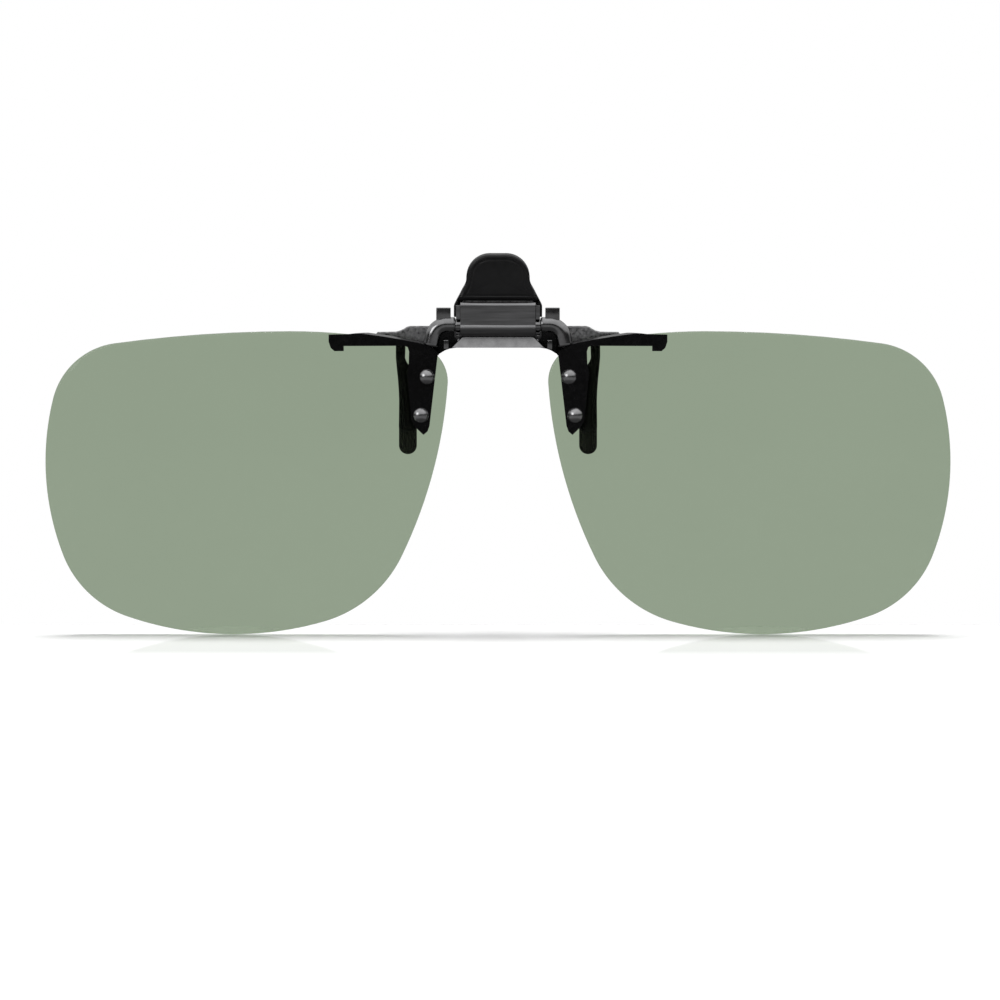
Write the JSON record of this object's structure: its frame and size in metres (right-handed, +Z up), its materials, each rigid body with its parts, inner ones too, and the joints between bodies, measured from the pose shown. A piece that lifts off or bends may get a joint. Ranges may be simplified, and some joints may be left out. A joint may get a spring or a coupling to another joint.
{
  "type": "flip-up clip-on sunglasses",
  "caption": "Rimless tinted clip-on sunglasses that flip up on a sprung bridge clamp with soft prongs and thumb tabs.",
  "frame": {"origin": "centre of the clamp's grip, midway between the two prongs, on the face of the front pads", "axes": "+X to the wearer's left along the bridge, +Y towards the wearer, +Z up"},
  "size_m": [0.135, 0.0127, 0.0566],
  "materials": {
    "clamp_steel": "nickel plated, satin",
    "housing_metal": "gunmetal plated, brushed along X",
    "bridge_metal": "gunmetal plated, polished",
    "bracket_black": "satin black enamel",
    "rivet_metal": "bright nickel",
    "washer_metal": "plain",
    "spring_steel": "drawn wire and strip",
    "thumb_plastic": "moulded, semi-gloss black",
    "sleeve_rubber": "soft black sleeve, ribbed pads",
    "lens_tint": "grey-green tinted polarised sheet"
  },
  "bodies": {
    "clamp_front": {"clamp_front_plate": "clamp_steel", "front_thumb_cover": "thumb_plastic", "front_prong_sleeve_right": "sleeve_rubber", "front_prong_sleeve_left": "sleeve_rubber", "hinge_housing": "housing_metal", "housing_cover": "housing_metal", "detent_spring": "spring_steel", "housing_rivets": "rivet_metal", "clamp_pivot_pin": "rivet_metal", "clamp_spring": "spring_steel"},
    "clamp_rear": {"clamp_rear_plate": "clamp_steel", "rear_thumb_cover": "thumb_plastic", "rear_prong_sleeve_right": "sleeve_rubber", "rear_prong_sleeve_left": "sleeve_rubber"},
    "lens_frame": {"flip_bridge": "bridge_metal", "lens_bracket_right": "bracket_black", "lens_bracket_left": "bracket_black", "lens_right": "lens_tint", "lens_left": "lens_tint", "lens_rivets_right": "rivet_metal", "lens_rivets_left": "rivet_metal", "rivet_washers_right": "washer_metal", "rivet_washers_left": "washer_metal"}
  },
  "joints": [
    {"name": "flip", "type": "hinge", "parent": "clamp_front", "child": "lens_frame", "pos_m": [0, -0.005, 0.0144], "axis": [-1, 0, 0], "range_deg": [0, 90]},
    {"name": "jaw_open", "type": "hinge", "parent": "clamp_front", "child": "clamp_rear", "pos_m": [0, 0.0005, 0.0152], "axis": [1, 0, 0], "range_deg": [0, 26.5], "stiffness_Nm_per_rad": 0.02, "springref_deg": -68.75, "deforming": ["clamp_spring"]}
  ]
}
